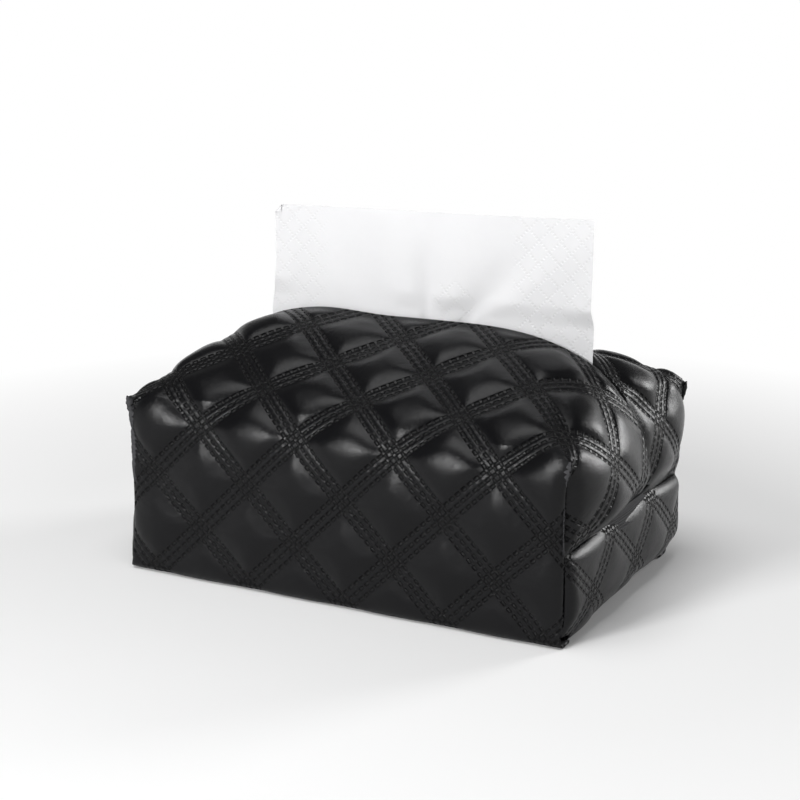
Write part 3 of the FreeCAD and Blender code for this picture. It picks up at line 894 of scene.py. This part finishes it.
# The leading tissue: its standing half, gathered by the slit, with soft folds that rise out of it
leaf = {
    "wide": 157.0, "high": 103, "left": -72.0, "foot": 58.6, "topLeft": 158.6, "topRight": 164.6,
    "depth": 5.0, "slit": 104.0, "narrow": 1.2, "narrowOver": 8, "narrowFade": (0.1875, 0.625),
    "flare": 3.5, "flareWide": 0.16, "flareTop": 130, "flareFade": 22, "dogEar": 3.4, "dogEarOut": 0.5,
    "wave": 1.0, "waves": 5.2, "waveStart": 0.6, "drift": 1.3, "driftWide": 34, "driftHigh": 42,
    "foldLow": -6.0, "footFade": 30, "squeezed": 1.2, "freed": 4.5, "freedFade": (2, 14),
    "behind": 5.45, "curl": 0.0205, "curlFrom": 52, "curlPower": 1.5, "firm": 2.2,
    "hemLow": (88, 10), "hemHigh": (-126, 10),
}
# Place along the slit, depth, half width, rise, lean and spread of each fold
leafFolds = (
    (-1.5, 2.2, 3.2, 30, -0.15, 0.22),
    (4.5, -3.4, 2.0, 17, 0.05, 0.10),
    (9.5, 3.0, 3.4, 24, 0.45, 0.30),
    (15.0, -2.6, 3.6, 26, 0.85, 0.25),
    (27.0, 1.8, 6.0, 38, 0.90, 0.20),
    (-15.0, -1.2, 5.0, 42, -0.30, 0.20),
    (-55.0, -1.6, 3.0, 24, -0.35, 0.25),
    (-61.0, 1.4, 3.5, 30, -0.10, 0.20),
    (52.0, 1.1, 6.0, 40, 0.15, 0.20),
    (70.0, -1.0, 4.5, 30, 0.05, 0.20),
)


def leafPlace(across, up):
    top = leaf["topLeft"] + (leaf["topRight"] - leaf["topLeft"]) * across
    z = leaf["foot"] + (top - leaf["foot"]) * up
    x = leaf["left"] + leaf["wide"] * across
    gathered = ease((top - z) / (top - leaf["slit"] + leaf["narrowOver"]))
    x = x - leaf["narrow"] * gathered * rising(across, *leaf["narrowFade"])
    flared = ease(1 - across / leaf["flareWide"]) * ease((leaf["flareTop"] - z) / leaf["flareFade"])
    x = x - leaf["flare"] * flared
    wave = leaf["wave"] * math.sin(across * leaf["waves"] + leaf["waveStart"])
    drift = leaf["drift"] * noise.noise(Vector((x / leaf["driftWide"], z / leaf["driftHigh"], 3.0)))
    y = leaf["depth"] + (wave + drift) * up
    height = z - leaf["slit"]
    for start, deep, half, rise, lean, spread in leafFolds:
        above = max(height, leaf["foldLow"])
        off = (x - start - lean * above) / (half + spread * max(above, 0.0))
        faded = math.exp(-max(above, 0.0) / rise) * ease((z - leaf["foot"]) / leaf["footFade"])
        y -= deep * math.exp(-off * off) * faded
    room = leaf["squeezed"] + leaf["freed"] * rising(height, *leaf["freedFade"])
    y = leaf["depth"] + room * math.tanh((y - leaf["depth"]) / room)
    behindHem = leaf["behind"] + leaf["curl"] * max(abs(x) - leaf["curlFrom"], 0) ** leaf["curlPower"]
    pushed = behindHem + math.log1p(math.exp((y - behindHem) * leaf["firm"])) / leaf["firm"]
    y += (pushed - y) * rising(z, *leaf["hemLow"]) * rising(-z, *leaf["hemHigh"])
    folded = leaf["dogEar"] - across * leaf["wide"] - (1 - up) * (top - leaf["foot"])
    if folded > 0:
        x, y, z = x + folded, y - leaf["dogEarOut"], z - folded
    return x * mm, y * mm, z * mm


def makeTissue():
    grid = bmesh.new()
    bmesh.ops.create_grid(grid, x_segments=196, y_segments=128, size=0.5)
    shares = [(vert.co.x + 0.5, vert.co.y + 0.5) for vert in grid.verts]
    for vert, (across, up) in zip(grid.verts, shares):
        vert.co = leafPlace(across, up)
    mesh = meshFrom(grid, "tissue")
    flatLayer(mesh, np.array([(across * leaf["wide"], up * leaf["high"], 0) for across, up in shares]))
    made = newObject("leading_leaf", mesh, paper)
    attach(made, "tissue")
    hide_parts("leading_tissue")
    print("leading leaf", len(mesh.polygons), "faces", flush=True)


# The pack: a stack of interfolded leaves in a crinkled film with a mouth on top
pack = {"half": (87.9, 51.9, 26.9), "middle": 31.5, "mouth": (7.0, 5.0, 82.0, 7.0)}
stack = {
    "gap": 0.6, "round": 1.6, "cuts": 60, "leafStep": 1.75, "ripple": 0.5, "ripplePower": 0.6, "slip": 0.9,
    "slipEnd": 0.6, "inset": 0.9, "sideFrom": 4, "sideFade": 3, "rim": 1.2, "topBand": 2, "dip": 0.5,
    "dipWide": 5, "uneven": 0.25, "unevenWide": 20, "sink": 0.15,
}
wrapper = {
    "round": 3.5, "cuts": 72, "creases": 26, "crinkles": 9, "crinkle": 0.5, "inset": 0.5, "deep": 0.9,
    "most": 1.3,
}


def roundedBlock(half, radius, cuts):
    block = bmesh.new()
    bmesh.ops.create_cube(block, size=2)
    bmesh.ops.subdivide_edges(block, edges=block.edges[:], cuts=cuts, use_grid_fill=True)
    for vert in block.verts:
        full = Vector([share * size for share, size in zip(vert.co, half)])
        inner = Vector([max(min(value, size - radius), radius - size) for value, size in zip(full, half)])
        out = full - inner
        vert.co = inner + out.normalized() * min(out.length, radius)
    return block


def makeStack():
    half = [size - stack["gap"] for size in pack["half"]]
    block = roundedBlock(half, stack["round"], stack["cuts"])
    for vert in block.verts:
        x, y, z = vert.co
        layer = math.floor(z / stack["leafStep"])
        wave = abs(math.sin(math.pi * z / stack["leafStep"]))
        inset = stack["inset"] - stack["ripple"] * wave ** stack["ripplePower"]
        slip = abs(stack["slip"] * noise.noise(Vector((layer * 0.73, 0.4, 1.0))))
        level = 1 - rising(abs(z), half[2] - stack["rim"], stack["rim"])
        side = rising(abs(y), half[1] - stack["sideFrom"], stack["sideFade"]) * level
        end = rising(abs(x), half[0] - stack["sideFrom"], stack["sideFade"]) * level
        y -= math.copysign(side * (inset + slip), y)
        x -= math.copysign(end * (inset + slip * stack["slipEnd"]), x)
        if z > half[2] - stack["topBand"]:
            wide = stack["unevenWide"]
            z -= stack["dip"] * (1 - math.exp(-((y - leaf["depth"]) / stack["dipWide"]) ** 2))
            z -= stack["uneven"] * noise.noise(Vector((x / wide, y / wide, 0)))
        vert.co = (x * mm, y * mm, (z + pack["middle"] - stack["sink"]) * mm)
    mesh = meshFrom(block, "stack")
    made = newObject("interfolded_stack", mesh, paper)
    flatLayer(mesh, coordinates(mesh) / mm)
    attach(made, "cover")
    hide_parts("tissue_stack")


def makeWrapper():
    block = roundedBlock(pack["half"], wrapper["round"], wrapper["cuts"])
    x0, y0, reach, wide = pack["mouth"]
    top = pack["half"][2] - 0.5

    def inMouth(face):
        x, y, z = face.calc_center_median()
        return z > top and abs(x - x0) < reach and abs(y - y0) < wide

    bmesh.ops.delete(block, geom=[face for face in block.faces if inMouth(face)], context="FACES")
    for vert in block.verts:
        place = vert.co.copy()
        crinkle = noise.fractal(place / wrapper["creases"], 0.7, 2.2, 4)
        crinkle += wrapper["crinkle"] * abs(noise.noise(place / wrapper["crinkles"]))
        inset = max(min(wrapper["inset"] + crinkle * wrapper["deep"], wrapper["most"]), 0.0)
        inward = Vector([value / size for value, size in zip(place, pack["half"])])
        vert.co = (place - inward * inset + Vector((0, 0, pack["middle"]))) * mm
    mesh = meshFrom(block, "wrapper")
    made = newObject("film_wrapper", mesh, film)
    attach(made, "cover")
    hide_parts("pack_film")
    print("pack", len(mesh.polygons), "faces", flush=True)


makeTissue()
makeStack()
makeWrapper()

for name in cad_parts:
    if "binding" in name:
        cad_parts[name].data.materials.clear()
        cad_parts[name].data.materials.append(tape)

# A pale floor whose far part is plain white to the camera and to gloss
studio = {
    "floor": 6.0, "floorColor": (0.95, 0.95, 0.95, 1), "plainFrom": 0.20, "plainTo": 0.42,
    "ambient": 0.145, "glossFrom": 0.10, "glossTo": 0.24, "aim": (0, 0, 0.06),
}


def makeFloor():
    finish = Finish("floor", Roughness=1.0, Specular_IOR_Level=0.0)
    finish.shader.inputs["Base Color"].default_value = studio["floorColor"]
    near = finish.node("ShaderNodeVectorMath", {"operation": "LENGTH"}, {0: finish.place()})
    far = finish.ramp(near, (studio["plainFrom"], 0.0), (studio["plainTo"], 1.0))
    rays = finish.node("ShaderNodeLightPath")
    seen = rays.out("Is Camera Ray").math("MAXIMUM", rays.out("Is Glossy Ray"))
    seen = seen.math("MAXIMUM", rays.out("Is Transmission Ray"))
    white = finish.node("ShaderNodeEmission", {}, {"Color": (1, 1, 1, 1), "Strength": 1.0})
    lit = Value(finish, finish.shader.outputs[0])
    mixed = finish.node("ShaderNodeMixShader", {}, {0: far * seen, 1: lit, 2: white})
    output = next(n for n in finish.tree.nodes if n.type == "OUTPUT_MATERIAL")
    finish.tree.links.new(mixed.socket, output.inputs[0])
    return finish.material


ground = bmesh.new()
bmesh.ops.create_grid(ground, x_segments=1, y_segments=1, size=studio["floor"])
floor = newObject("floor", meshFrom(ground, "floor"), makeFloor())


# The camera sees white behind the floor, and so does gloss up to a low height; the rest is a dim ceiling
def makeWorld():
    world = bpy.data.worlds.new("studio")
    bpy.context.scene.world = world
    world.use_nodes = True
    nodes, links = world.node_tree.nodes, world.node_tree.links
    nodes.clear()

    def math2(operation, first, second):
        made = nodes.new("ShaderNodeMath")
        made.operation = operation
        links.new(first, made.inputs[0])
        links.new(second, made.inputs[1])
        return made.outputs[0]

    def remap(value, **ends):
        made = nodes.new("ShaderNodeMapRange")
        links.new(value, made.inputs["Value"])
        for name, end in ends.items():
            made.inputs[name.replace("_", " ")].default_value = end
        return made.outputs["Result"]

    rays = nodes.new("ShaderNodeLightPath").outputs
    parts = nodes.new("ShaderNodeSeparateXYZ")
    links.new(nodes.new("ShaderNodeTexCoord").outputs["Generated"], parts.inputs[0])
    ends = {"From_Min": studio["glossFrom"], "From_Max": studio["glossTo"], "To_Min": 1.0, "To_Max": 0.0}
    low = remap(parts.outputs["Z"], **ends)
    seen = math2("MAXIMUM", rays["Is Camera Ray"], rays["Is Glossy Ray"])
    seen = math2("MAXIMUM", seen, rays["Is Transmission Ray"])
    share = math2("MULTIPLY", seen, math2("MAXIMUM", low, rays["Is Camera Ray"]))
    sky = nodes.new("ShaderNodeBackground")
    sky.inputs["Color"].default_value = (1, 1, 1, 1)
    links.new(remap(share, To_Min=studio["ambient"], To_Max=1.0), sky.inputs["Strength"])
    links.new(sky.outputs[0], nodes.new("ShaderNodeOutputWorld").inputs[0])


makeWorld()

# Area lamps that look at the middle of the cover; sizes in metres
lamps = {
    "key": {"place": (-0.30, -1.10, 0.50), "size": (0.30, 0.26), "watts": 8.8},
    "overhead": {"place": (-0.05, -0.40, 1.35), "size": (1.00, 0.80), "watts": 9.8},
    "back": {"place": (0.75, 1.10, 0.45), "size": (0.42, 0.42), "watts": 8.0},
}
for name, lamp in lamps.items():
    data = bpy.data.lights.new(name, "AREA")
    data.shape = "RECTANGLE"
    data.size, data.size_y = lamp["size"]
    data.energy = lamp["watts"]
    made = bpy.data.objects.new(name, data)
    made.location = lamp["place"]
    made.visible_camera = False
    toward = Vector(studio["aim"]) - Vector(lamp["place"])
    made.rotation_mode = "QUATERNION"
    made.rotation_quaternion = toward.to_track_quat("-Z", "Y")
    bpy.context.scene.collection.objects.link(made)

bpy.context.view_layer.update()
